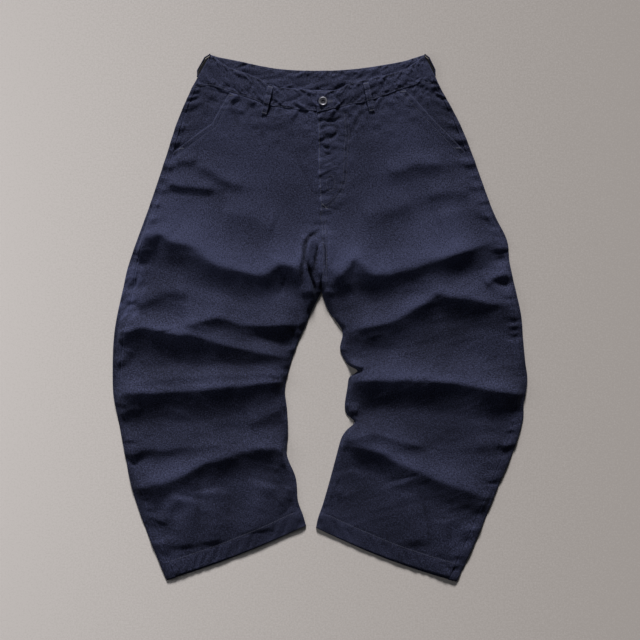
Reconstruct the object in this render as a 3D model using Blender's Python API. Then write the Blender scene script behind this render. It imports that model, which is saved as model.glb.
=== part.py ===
"""Wide, bow-legged jeans laid flat on their back, front up, waist towards +Y.

+X is the wearer's left. The backs lie flat on the floor and roll up over each outer edge to the side seams,
the fronts lie on them, and the two-piece front waistband lies on the back one. Sizes are in millimetres until
a mesh is made.
"""

from collections import namedtuple

import bpy
import numpy as np

MM = 0.001

# Walls and clearances
CLOTH = 1.2
BAND = 2.4
HEM = 2.0
SEAM_GAP = 0.3
LAYER = CLOTH + SEAM_GAP
BAND_GAP = 0.8
BAND_REST = BAND + SEAM_GAP

# How the flat tube of a leg stands
TUBE_LIFT = 2.4
EDGE_ROUND = 14.0
FOLD_FADE = 34.0
ROLL = 6.0
STEEPEST = 2.2

# Grid of the panels
ACROSS = 13
STEPS_PER_SECTION = 4
ROLL_STEPS = 4
FLAT_STRIPS = 6
BAND_STEPS = 30

# Where along the sections the waist seam's shape dies out, the fly ends and the hem starts
SEAM_EASE = 2.6
FLY_FOOT = 3.0
FLY_EASE = 0.7
RAISE_FOOT = 3.35
RAISE_EASE = 0.3
HEM_SECTIONS = 0.62
HEM_EASE = 0.1

# Fly
FLY_UNDERLAP = 20.0
UNDERLAP_FALL = 0.1
UNDERLAP_POWER = 6
FLY_RAISE = 1.65
FLY_RAISE_FROM = 16.0
FLY_RAISE_RUN = 18.0
BAND_RAISE = 2.75
BAND_RAISE_FROM = 23.0
BAND_RAISE_RUN = 26.0

# Belt loops and button
LOOP_WIDTH = 11.0
LOOP_WALL = 1.5
LOOP_ARCH = 1.8
LOOP_TACK = 0.2
LOOP_STEPS = 13
SIDE_LOOP_STANDOFF = 3.2
SIDE_LOOP_END = 0.66
SIDE_LOOP_TACK = 0.16
SIDE_LOOP_RISE = (0.6, 7.5)
BUTTON_RADIUS = 8.5
BUTTON_HEIGHT = 3.4
BUTTON_X = 6.0
BUTTON_Y = 421.0

# One row for each section down a leg. Inner points are on the centre seam down to the crotch, and then on the
# inseam. inset is how far the side seam lies inside the outer edge, and bow how far the middle hangs below a
# straight line.
Section = namedtuple("Section", "outer_x outer_y inner_x inner_y inset bow")
CROTCH = 6
SECTIONS = {
    "left": (
        Section(234, 450, -5, 402, 9, 0),
        Section(269, 386, -4, 328, 10, 0),
        Section(295, 324, -3, 269, 11, 0),
        Section(320, 254, 0, 214, 12, 0),
        Section(340, 201, 2, 168, 13, 0),
        Section(364, 152, 4, 121, 14, 0),
        Section(370, 105, 3, 51, 15, 0),
        Section(381, 55, 16, 14, 16, 0),
        Section(392, 4, 43, -25, 16, 0),
        Section(396, -43, 39, -62, 16, 0),
        Section(400, -86, 55, -98, 17, 0),
        Section(404, -121, 54, -129, 17, 0),
        Section(397, -164, 48, -175, 17, 0),
        Section(396, -195, 58, -205, 17, 0),
        Section(384, -238, 42, -233, 18, 0),
        Section(367, -283, 31, -271, 18, 1),
        Section(347, -328, 19, -316, 18, 2),
        Section(326, -380, 6, -361, 18, 4),
        Section(298, -447, -4, -390, 18, 6),
        Section(266, -514, -8, -409, 18, 8),
    ),
    "right": (
        Section(-251, 446, -5, 402, 9, 0),
        Section(-277, 386, -4, 328, 10, 0),
        Section(-297, 324, -3, 269, 11, 0),
        Section(-320, 254, 0, 214, 12, 0),
        Section(-338, 201, 2, 168, 13, 0),
        Section(-356, 152, 4, 121, 14, 0),
        Section(-373, 103, 3, 51, 16, 0),
        Section(-385, 51, -14, 18, 20, 0),
        Section(-396, 0, -31, -21, 22, 0),
        Section(-402, -43, -45, -53, 20, 0),
        Section(-404, -94, -58, -92, 17, 0),
        Section(-403, -144, -68, -137, 14, 0),
        Section(-396, -185, -64, -179, 14, 0),
        Section(-386, -234, -62, -224, 15, 0),
        Section(-378, -277, -64, -267, 16, 0),
        Section(-368, -326, -47, -312, 18, 1),
        Section(-353, -374, -43, -355, 20, 2),
        Section(-331, -433, -33, -384, 20, 4),
        Section(-299, -511, -27, -405, 20, 6),
    ),
}

# Sharp tucks where a fold bites into an inseam's outline
Notch = namedtuple("Notch", "y depth half_width")
NOTCHES = {"left": (Notch(-103, 17, 8), Notch(-203, 9, 9)), "right": ()}

# One row for each fold: its crest line, its height, and its width on the lit side (to the left of the way it
# runs) and on the steeper shaded side.
Fold = namedtuple("Fold", "crest height lit shaded")
FOLDS = {
    "left": (
        Fold(((62, 78), (127, 103), (215, 127), (287, 144), (355, 176)), 15, 46, 26),
        Fold(((322, 94), (370, 98)), 5, 20, 14),
        Fold(((25, 6), (123, 16), (205, 39), (234, 62)), 17, 44, 25),
        Fold(((234, 58), (292, 43), (380, 25)), 10, 34, 20),
        Fold(((62, -98), (156, -109), (254, -115), (361, -133)), 17, 50, 26),
        Fold(((55, -218), (107, -207), (195, -234)), 9, 36, 18),
        Fold(((49, -246), (142, -263), (215, -292), (312, -339)), 14, 36, 24),
        Fold(((199, -443), (187, -365), (166, -316)), 5, 26, 16),
        Fold(((74, 224), (127, 214), (179, 187)), 4, 30, 22),
    ),
    "right": (
        Fold(((-370, 140), (-312, 170), (-254, 146), (-156, 109), (-68, 74), (-33, 53)), 15, 44, 24),
        Fold(((-337, 57), (-292, 53), (-254, 37)), 6, 26, 16),
        Fold(((-259, 8), (-156, 0), (-35, -20)), 10, 28, 20),
        Fold(((-390, -23), (-332, -8), (-234, -35), (-137, -62), (-59, -74)), 14, 32, 22),
        Fold(((-370, -129), (-283, -133), (-176, -121), (-72, -109)), 17, 44, 28),
        Fold(((-394, -164), (-339, -172)), 5, 20, 14),
        Fold(((-137, -170), (-68, -187)), 5, 24, 18),
        Fold(((-376, -246), (-302, -248), (-166, -226)), 8, 34, 20),
        Fold(((-355, -312), (-283, -296), (-215, -269), (-137, -244), (-59, -252)), 14, 36, 24),
        Fold(((-179, -433), (-183, -326)), 6, 30, 26),
        Fold(((-273, -433), (-263, -335)), 5, 30, 24),
        Fold(((-179, 207), (-117, 199), (-59, 176)), 5, 34, 26),
    ),
}

# How far across the front the slanted pocket mouth lies, at the first two sections
MOUTH = {"left": (0.70, 0.83), "right": (0.69, 0.757)}
MOUTH_END = 2
FACING_TUCK = 16.0

# Waistbands, one row for each station along them: a point on the top edge and one on the lower seam
Station = namedtuple("Station", "top_x top_y low_x low_y")
FRONT_BAND = {
    "left": (
        Station(-6, 442, -6, 400),
        Station(33, 444, 31, 408),
        Station(55, 456, 58, 415),
        Station(92, 465, 98, 423),
        Station(146, 478, 160, 446),
        Station(179, 493, 205, 457),
        Station(203, 513, 234, 450),
    ),
    "right": (
        Station(20, 442, 20, 402),
        Station(-39, 446, -39, 405),
        Station(-88, 452, -96, 413),
        Station(-127, 470, -133, 426),
        Station(-177, 488, -183, 442),
        Station(-199, 503, -216, 452),
        Station(-213, 513, -251, 446),
    ),
}
BACK_BAND = (
    Station(-213, 513, -251, 446),
    Station(-196, 508, -218, 459),
    Station(-170, 503, -180, 459),
    Station(-84, 486, -88, 444),
    Station(0, 482, 0, 440),
    Station(74, 486, 77, 444),
    Station(156, 499, 163, 459),
    Station(184, 507, 205, 461),
    Station(203, 513, 234, 450),
)

# Front belt loops: where the strip starts above the waistband, and where its tacked foot ends
Loop = namedtuple("Loop", "top_x top_y foot_x foot_y")
FRONT_LOOPS = {"left": Loop(89, 458, 101, 401), "right": Loop(-96, 451, -109, 396)}

# colour, metallic, roughness
NAVY_TWILL = ((0.021, 0.023, 0.036, 1.0), 0.0, 0.9)
WORN_NAVY = ((0.026, 0.028, 0.043, 1.0), 0.0, 0.9)
DARK_METAL = ((0.06, 0.06, 0.075, 1.0), 0.9, 0.42)


def clear_scene():
    for obj in list(bpy.data.objects):
        bpy.data.objects.remove(obj)


def material(name, finish):
    made = bpy.data.materials.new(name)
    made.use_nodes = True
    shader = made.node_tree.nodes["Principled BSDF"]
    shader.inputs["Base Color"].default_value = finish[0]
    shader.inputs["Metallic"].default_value = finish[1]
    shader.inputs["Roughness"].default_value = finish[2]
    return made


def smoothstep(value):
    value = np.clip(value, 0.0, 1.0)
    return value * value * (3.0 - 2.0 * value)


def rounded(distance, radius):
    """Height of a quarter circle, 0 at an edge and 1 from one radius inside it."""
    return np.sqrt(1.0 - (1.0 - np.clip(distance / radius, 0.0, 1.0)) ** 2)


def spline(rows, at):
    """A Catmull-Rom curve through rows, read at numbers that count the rows from 0."""
    rows = np.asarray(rows, float)
    padded = np.concatenate([rows[:1], rows, rows[-1:]])
    at = np.clip(np.asarray(at, float), 0.0, len(rows) - 1)
    start = np.minimum(at.astype(int), len(rows) - 2)
    u = (at - start)[..., None]
    before, first, last, after = (padded[start + step] for step in range(4))
    slope_in = 0.5 * (last - before)
    slope_out = 0.5 * (after - first)
    return (
        first * (2 * u**3 - 3 * u**2 + 1)
        + slope_in * (u**3 - 2 * u**2 + u)
        + last * (3 * u**2 - 2 * u**3)
        + slope_out * (u**3 - u**2)
    )


def fold_rise(x, y, fold):
    """Height that one fold adds: a hump across its crest line, lower towards the line's ends."""
    line = spline(fold.crest, np.linspace(0, len(fold.crest) - 1, 20))
    nearest = np.full(x.shape, np.inf)
    side = np.zeros(x.shape)
    along = np.zeros(x.shape)
    for number, (start, end) in enumerate(zip(line[:-1], line[1:])):
        run = end - start
        share = np.clip(((x - start[0]) * run[0] + (y - start[1]) * run[1]) / (run @ run), 0, 1)
        off_x = x - start[0] - share * run[0]
        off_y = y - start[1] - share * run[1]
        distance = np.hypot(off_x, off_y)
        closer = distance < nearest
        nearest = np.where(closer, distance, nearest)
        side = np.where(closer, run[0] * off_y - run[1] * off_x, side)
        along = np.where(closer, (number + share) / (len(line) - 1), along)
    width = np.where(side > 0, fold.lit, fold.shaded)
    hump = np.clip(1.0 - (nearest / width) ** 2, 0.0, 1.0) ** 2
    taper = 0.35 + 0.65 * smoothstep(along / 0.25) * smoothstep((1.0 - along) / 0.25)
    return fold.height * hump * taper


class Leg:
    """One leg's sections, and the height of the cloth over them."""

    def __init__(self, side):
        self.side = side
        self.sections = SECTIONS[side]
        self.last = len(self.sections) - 1
        self.sign = 1.0 if side == "left" else -1.0
        self.down = np.linspace(0, self.last, self.last * STEPS_PER_SECTION + 1)

    def edges(self, down):
        """The outer and inner points of the sections at down, with the inseam's tucks."""
        outer = spline([row[:2] for row in self.sections], down)
        centre = spline([row[2:4] for row in self.sections[: CROTCH + 1]], down)
        inseam = spline([row[2:4] for row in self.sections[CROTCH:]], down - CROTCH)
        inner = np.where((down < CROTCH)[..., None], centre, inseam)
        inner[..., 0] += self.sign * SEAM_GAP / 2
        for notch in NOTCHES[self.side]:
            bite = notch.depth * np.exp(-(((inner[..., 1] - notch.y) / notch.half_width) ** 2))
            inner[..., 0] += self.sign * bite * (down > CROTCH)
        return outer, inner

    def inset(self, down):
        return spline([row[4:5] for row in self.sections], down)[..., 0]

    def width(self, down):
        outer, inner = self.edges(down)
        return np.hypot(*np.moveaxis(outer - inner, -1, 0))

    def side_seam(self, down):
        """How far across the front's outer edge lies."""
        return 1.0 - (self.inset(down) + SEAM_GAP) / self.width(down)

    def mouth(self, down):
        """How far across the pocket mouth lies. It ends at the side seam."""
        end = self.side_seam(np.array([float(MOUTH_END)]))[0]
        return np.interp(down, (0, 1, MOUTH_END), (*MOUTH[self.side], end))

    def place(self, across, down, seam):
        """x and y at a share across (0 inner, 1 outer) and a number down, with the top edge on seam."""
        outer, inner = self.edges(down)
        x = inner[..., 0] + (outer[..., 0] - inner[..., 0]) * across
        y = inner[..., 1] + (outer[..., 1] - inner[..., 1]) * across
        bow = spline([row[5:6] for row in self.sections], down)[..., 0]
        y = y - bow * np.sin(np.pi * np.clip(across, 0, 1))
        top_outer, top_inner = self.edges(np.zeros_like(down))
        top_x = top_inner[..., 0] + (top_outer[..., 0] - top_inner[..., 0]) * across
        top_y = top_inner[..., 1] + (top_outer[..., 1] - top_inner[..., 1]) * across
        to_seam = seam_height(seam, top_x) - BAND_GAP - top_y
        return x, y + to_seam * (1 - smoothstep(down / SEAM_EASE))

    def lift(self, across, down, x, y):
        """How far the front's underside stands off the clearance over the back."""
        width = self.width(down)
        to_outer = (1.0 - across) * width
        to_inner = np.where(down > CROTCH - 0.5, across * width, 1e3)
        folds = sum(fold_rise(x, y, fold) for fold in FOLDS[self.side])
        folds = folds * smoothstep(to_outer / FOLD_FADE) * smoothstep(to_inner / FOLD_FADE)
        return (TUBE_LIFT + folds) * rounded(to_outer, EDGE_ROUND) * rounded(to_inner, EDGE_ROUND)


def seam_height(stations, x):
    """y of a waistband's lower seam at x."""
    low = [(row.low_x, row.low_y) for row in stations]
    line = spline(low, np.linspace(0, len(stations) - 1, BAND_STEPS + 1))
    line = line[np.argsort(line[:, 0])]
    return np.interp(x, line[:, 0], line[:, 1])


def steepness(x, y, z):
    """Length of the wall's vertical cut for each unit of thickness, from a grid of heights."""
    squares = 1.0
    for axis in (0, 1):
        run = np.hypot(np.gradient(x, axis=axis), np.gradient(y, axis=axis))
        squares = squares + (np.gradient(z, axis=axis) / run) ** 2
    return np.minimum(np.sqrt(squares), STEEPEST)


def wall(name, outside, inside, finish):
    """A closed wall between two grids of points with the same rows and columns.

    Both grids are split along the same diagonals, so the wall can't cross itself on a twisted fold.
    """
    rows, columns = outside.shape[:2]
    count = rows * columns
    index = np.arange(count).reshape(rows, columns)
    corners = np.stack([index[:-1, :-1], index[1:, :-1], index[1:, 1:], index[:-1, 1:]], -1)
    corners = corners.reshape(-1, 4)
    halves = np.concatenate([corners[:, (0, 1, 2)], corners[:, (0, 2, 3)]])
    border = np.concatenate([index[:, 0], index[-1, 1:], index[-2::-1, -1], index[0, -2:0:-1]])
    following = np.roll(border, -1)
    rim = np.stack([border, border + count, following + count, following], -1)
    faces = np.concatenate([halves, halves[:, ::-1] + count, rim[:, (0, 1, 2)], rim[:, (0, 2, 3)]])
    points = np.concatenate([outside.reshape(-1, 3), inside.reshape(-1, 3)]) * MM
    if np.linalg.det(points[faces]).sum() < 0:
        faces = faces[:, ::-1]
    mesh = bpy.data.meshes.new(name)
    mesh.from_pydata(points.tolist(), [], faces.tolist())
    obj = bpy.data.objects.new(name, mesh)
    bpy.context.scene.collection.objects.link(obj)
    mesh.materials.append(finish)
    mesh.shade_smooth()
    mesh.set_sharp_from_angle(angle=np.radians(50))
    return obj


def stack(x, y, z):
    return np.stack([x, y, z], -1)


def front_panel(leg, finish):
    """A front, cut away at the slanted pocket mouth. Down the fly the left one laps the right one."""
    down, share = np.meshgrid(leg.down, np.linspace(0, 1, ACROSS))
    across = share * np.where(down < MOUTH_END, leg.mouth(down), leg.side_seam(down))
    x, y = leg.place(across, down, FRONT_BAND[leg.side])
    if leg.side == "right":
        fly = smoothstep((FLY_FOOT - down) / FLY_EASE)
        underlap = FLY_UNDERLAP * fly * (1.0 - share) ** UNDERLAP_POWER
        x = x + underlap
        y = y - UNDERLAP_FALL * underlap
    lift = leg.lift(across, down, x, y)
    if leg.side == "left":
        covered = 1.0 - smoothstep((x - FLY_RAISE_FROM) / FLY_RAISE_RUN)
        lift = lift + FLY_RAISE * covered * smoothstep((RAISE_FOOT - down) / RAISE_EASE)
    z = LAYER + lift
    thick = CLOTH + (HEM - CLOTH) * smoothstep((down - leg.last + HEM_SECTIONS) / HEM_EASE)
    top = z + thick * steepness(x, y, z)
    return wall(f"front_{leg.side}", stack(x, y, top), stack(x, y, z), finish)


def back_panel(leg, finish):
    """A back: flat on the floor, rolled up over the outer edge, and in on top as far as the side seam."""
    down = leg.down
    width = leg.width(down)
    roll = 1.0 - ROLL / width
    seam = 1.0 - leg.inset(down) / width
    x, y = leg.place(roll, down, FRONT_BAND[leg.side])
    rise = leg.lift(roll, down, x, y)
    full = LAYER + rise + CLOTH
    outside = []
    inside = []
    for share in np.linspace(0, 1, FLAT_STRIPS + 1):
        x, y = leg.place(roll * share, down, BACK_BAND)
        outside.append(stack(x, y, np.zeros_like(x)))
        inside.append(stack(x, y, np.full_like(x, CLOTH)))
    for angle in np.linspace(-90, 90, ROLL_STEPS + 2)[1:-1]:
        sine = np.sin(np.radians(angle))
        cosine = np.cos(np.radians(angle))
        for surface, wall_in in ((outside, 0.0), (inside, CLOTH)):
            across = roll + (ROLL - wall_in) * cosine / width
            x, y = leg.place(across, down, FRONT_BAND[leg.side] if angle >= 0 else BACK_BAND)
            surface.append(stack(x, y, full / 2 + (full / 2 - wall_in) * sine))
    for across in (roll, (roll + seam) / 2, seam):
        x, y = leg.place(across, down, FRONT_BAND[leg.side])
        z = LAYER + leg.lift(across, down, x, y)
        outside.append(stack(x, y, z + CLOTH))
        inside.append(stack(x, y, z))
    return wall(f"back_{leg.side}", np.array(outside), np.array(inside), finish)


def pocket_facing(leg, finish):
    """The cloth that shows outside the pocket mouth, tucked in under the front and sewn to the side seam."""
    down, share = np.meshgrid(np.linspace(0, MOUTH_END - 0.06, 12), np.linspace(0, 1, 7))
    tucked = leg.mouth(down) - FACING_TUCK / leg.width(down)
    across = tucked + (leg.side_seam(down) - tucked) * share
    x, y = leg.place(across, down, FRONT_BAND[leg.side])
    z = np.maximum(leg.lift(across, down, x, y), LAYER)
    return wall(f"pocket_facing_{leg.side}", stack(x, y, z + CLOTH), stack(x, y, z), finish)


def band_grid(stations, along, deep):
    """Points of a waistband: along counts its stations, and deep is 0 on top and 1 on the lower seam."""
    rows = spline(stations, along)
    return rows[..., 0:2] * (1 - deep[..., None]) + rows[..., 2:4] * deep[..., None]


def front_band(side, finish):
    """Half of the front waistband. The left half is raised where it laps over the right one at the button."""
    stations = FRONT_BAND[side]
    stops = np.linspace(0, len(stations) - 1, BAND_STEPS + 1)
    along, deep = np.meshgrid(stops, np.linspace(0, 1, 4))
    x, y = np.moveaxis(band_grid(stations, along, deep), -1, 0)
    z = np.full(along.shape, BAND_REST)
    if side == "left":
        z = z + BAND_RAISE * (1.0 - smoothstep((x - BAND_RAISE_FROM) / BAND_RAISE_RUN))
    return wall(f"waistband_front_{side}", stack(x, y, z + BAND), stack(x, y, z), finish)


def back_band(finish):
    stops = np.linspace(0, len(BACK_BAND) - 1, BAND_STEPS + 1)
    along, deep = np.meshgrid(stops, np.linspace(0, 1, 3))
    x, y = np.moveaxis(band_grid(BACK_BAND, along, deep), -1, 0)
    floor = np.zeros_like(x)
    return wall("waistband_back", stack(x, y, floor + BAND), stack(x, y, floor), finish)


def front_loop(side, finish):
    """A belt loop over the front waistband, arched off it between its two sewn ends."""
    loop = FRONT_LOOPS[side]
    start = np.array([loop.top_x, loop.top_y], float)
    run = np.array([loop.foot_x, loop.foot_y], float) - start
    square = np.array([-run[1], run[0]]) / np.hypot(*run)
    along, share = np.meshgrid(np.linspace(0, 1, LOOP_STEPS), (-0.5, 0.5))
    x = start[0] + run[0] * along + square[0] * share * LOOP_WIDTH
    y = start[1] + run[1] * along + square[1] * share * LOOP_WIDTH
    arch = LOOP_ARCH * smoothstep(along / LOOP_TACK) * smoothstep((1 - along) / LOOP_TACK)
    z = BAND_REST + BAND + SEAM_GAP + arch
    return wall(f"belt_loop_front_{side}", stack(x, y, z + LOOP_WALL), stack(x, y, z), finish)


def side_loop(side, finish):
    """A belt loop at the side fold, standing on its edge and bowed a few millimetres off the fold."""
    stations = FRONT_BAND[side]
    top = np.array(stations[-1][:2], float)
    low = np.array(stations[-1][2:], float)
    run = low - top
    sign = 1.0 if side == "left" else -1.0
    square = sign * np.array([-run[1], run[0]]) / np.hypot(*run)
    along, high = np.meshgrid(np.linspace(0.0, SIDE_LOOP_END, LOOP_STEPS), SIDE_LOOP_RISE)
    to_end = SIDE_LOOP_END - along
    bow = SIDE_LOOP_STANDOFF * smoothstep(along / SIDE_LOOP_TACK) * smoothstep(to_end / SIDE_LOOP_TACK)
    faces = []
    for reach in (SEAM_GAP + bow + LOOP_WALL, SEAM_GAP + bow):
        x = top[0] + run[0] * along + square[0] * reach
        y = top[1] + run[1] * along + square[1] * reach
        faces.append(stack(x, y, high))
    return wall(f"belt_loop_side_{side}", faces[0], faces[1], finish)


def button(finish):
    """A turned shank button: a dished face inside a rolled rim, on the lapped end of the waistband."""
    base_edge = [(0.0, 0.0), (0.8, 0.0), (1.0, 0.3), (1.0, 0.75)]
    rim_and_face = [(0.86, 1.0), (0.7, 0.8), (0.0, 0.66)]
    profile = np.array(base_edge + rim_and_face) * (BUTTON_RADIUS, BUTTON_HEIGHT)
    turns = np.linspace(0, 2 * np.pi, 24, endpoint=False)
    base = BAND_REST + BAND_RAISE + BAND + SEAM_GAP
    points = [(BUTTON_X, BUTTON_Y, base + profile[0, 1])]
    for radius, high in profile[1:-1]:
        points += [(BUTTON_X + radius * np.cos(t), BUTTON_Y + radius * np.sin(t), base + high) for t in turns]
    points.append((BUTTON_X, BUTTON_Y, base + profile[-1, 1]))
    count = len(turns)
    faces = []
    for step in range(count):
        after = (step + 1) % count
        faces.append((0, 1 + after, 1 + step))
        for ring in range(len(profile) - 3):
            low = 1 + ring * count
            faces.append((low + step, low + after, low + count + after, low + count + step))
        high = 1 + (len(profile) - 3) * count
        faces.append((high + step, high + after, len(points) - 1))
    mesh = bpy.data.meshes.new("button")
    mesh.from_pydata((np.array(points) * MM).tolist(), [], faces)
    mesh.materials.append(finish)
    mesh.shade_smooth()
    obj = bpy.data.objects.new("button", mesh)
    bpy.context.scene.collection.objects.link(obj)
    return obj


def main():
    clear_scene()
    twill = material("navy_twill", NAVY_TWILL)
    worn = material("worn_navy_twill", WORN_NAVY)
    metal = material("dark_metal", DARK_METAL)
    for side in ("left", "right"):
        leg = Leg(side)
        back_panel(leg, twill)
        front_panel(leg, twill)
        pocket_facing(leg, twill)
        front_band(side, worn)
        front_loop(side, worn)
        side_loop(side, worn)
    back_band(worn)
    button(metal)


main()
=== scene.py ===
import bpy
import numpy as np
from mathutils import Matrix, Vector
from mathutils.bvhtree import BVHTree


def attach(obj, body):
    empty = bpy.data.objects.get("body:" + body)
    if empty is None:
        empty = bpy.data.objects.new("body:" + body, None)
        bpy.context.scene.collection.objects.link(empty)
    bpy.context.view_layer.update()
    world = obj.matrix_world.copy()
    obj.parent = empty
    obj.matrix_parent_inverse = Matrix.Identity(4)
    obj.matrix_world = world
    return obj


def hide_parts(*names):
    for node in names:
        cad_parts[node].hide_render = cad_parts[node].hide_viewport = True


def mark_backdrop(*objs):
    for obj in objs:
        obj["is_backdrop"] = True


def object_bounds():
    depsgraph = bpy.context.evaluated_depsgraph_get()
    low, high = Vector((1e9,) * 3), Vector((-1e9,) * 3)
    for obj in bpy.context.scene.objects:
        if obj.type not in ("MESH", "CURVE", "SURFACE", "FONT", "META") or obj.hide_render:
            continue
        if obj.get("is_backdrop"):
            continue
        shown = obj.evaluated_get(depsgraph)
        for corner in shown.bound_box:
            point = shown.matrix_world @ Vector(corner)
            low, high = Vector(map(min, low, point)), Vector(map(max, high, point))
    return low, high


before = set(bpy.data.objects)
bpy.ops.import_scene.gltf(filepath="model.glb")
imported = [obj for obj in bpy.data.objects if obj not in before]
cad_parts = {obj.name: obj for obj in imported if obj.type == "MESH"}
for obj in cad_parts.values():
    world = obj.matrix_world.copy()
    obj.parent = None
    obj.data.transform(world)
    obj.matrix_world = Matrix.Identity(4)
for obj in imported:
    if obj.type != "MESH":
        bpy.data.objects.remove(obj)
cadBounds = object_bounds()

# Sizes are in millimetres until a mesh is made. +X is the wearer's left, +Y the waist, and z = 0 the floor.
cloth = {"wall": 1.2, "bandWall": 2.4, "hemWall": 1.9, "gap": 0.3, "lift": 2.4, "edgeRound": 14.0,
         "outerFade": 15.0, "innerFade": 10.0, "roll": 6.0, "hemDeep": 33.0, "flatHem": 70.0, "spacing": 2.6}
layer = cloth["wall"] + cloth["gap"]
bandRest = cloth["bandWall"] + cloth["gap"]

# One row a section down each leg: outer x and y, inner x and y, side seam inset, bow. Inner points are on
# the centre seam down to the crotch row, then on the inseam.
crotchRow = 6
sections = {
    "left": (
        (234, 450, -5, 402, 9, 0), (269, 386, -4, 328, 10, 0), (295, 324, -3, 269, 11, 0),
        (320, 254, 0, 214, 12, 0), (340, 201, 2, 168, 13, 0), (364, 152, 4, 121, 14, 0),
        (370, 105, 3, 51, 15, 0), (381, 55, 16, 14, 16, 0), (392, 4, 43, -25, 16, 0),
        (396, -43, 39, -62, 16, 0), (400, -86, 55, -98, 17, 0), (404, -121, 54, -129, 17, 0),
        (397, -164, 48, -175, 17, 0), (396, -195, 58, -205, 17, 0), (384, -238, 42, -233, 18, 0),
        (367, -283, 31, -271, 18, 1), (347, -328, 19, -316, 18, 2), (326, -380, 6, -361, 18, 4),
        (298, -447, -4, -390, 18, 6), (266, -514, -8, -409, 18, 8),
    ),
    "right": (
        (-251, 446, -5, 402, 9, 0), (-277, 386, -4, 328, 10, 0), (-297, 324, -3, 269, 11, 0),
        (-320, 254, 0, 214, 12, 0), (-338, 201, 2, 168, 13, 0), (-356, 152, 4, 121, 14, 0),
        (-373, 103, 3, 51, 16, 0), (-385, 51, -14, 18, 20, 0), (-396, 0, -31, -21, 22, 0),
        (-402, -43, -45, -53, 20, 0), (-404, -94, -58, -92, 17, 0), (-403, -144, -68, -137, 14, 0),
        (-396, -185, -64, -179, 14, 0), (-386, -234, -62, -224, 15, 0), (-378, -277, -64, -267, 16, 0),
        (-368, -326, -47, -312, 18, 1), (-353, -374, -43, -355, 20, 2), (-331, -433, -33, -384, 20, 4),
        (-299, -511, -27, -405, 20, 6),
    ),
}
# y, depth and half width of the sharp tucks in the inseam's outline
notches = {"left": ((-103, 17, 8), (-203, 9, 9)), "right": ()}
# the pocket mouth's share across at the first two sections; it ends at the side seam at the third
mouthShare = {"left": (0.70, 0.83), "right": (0.69, 0.757)}

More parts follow.
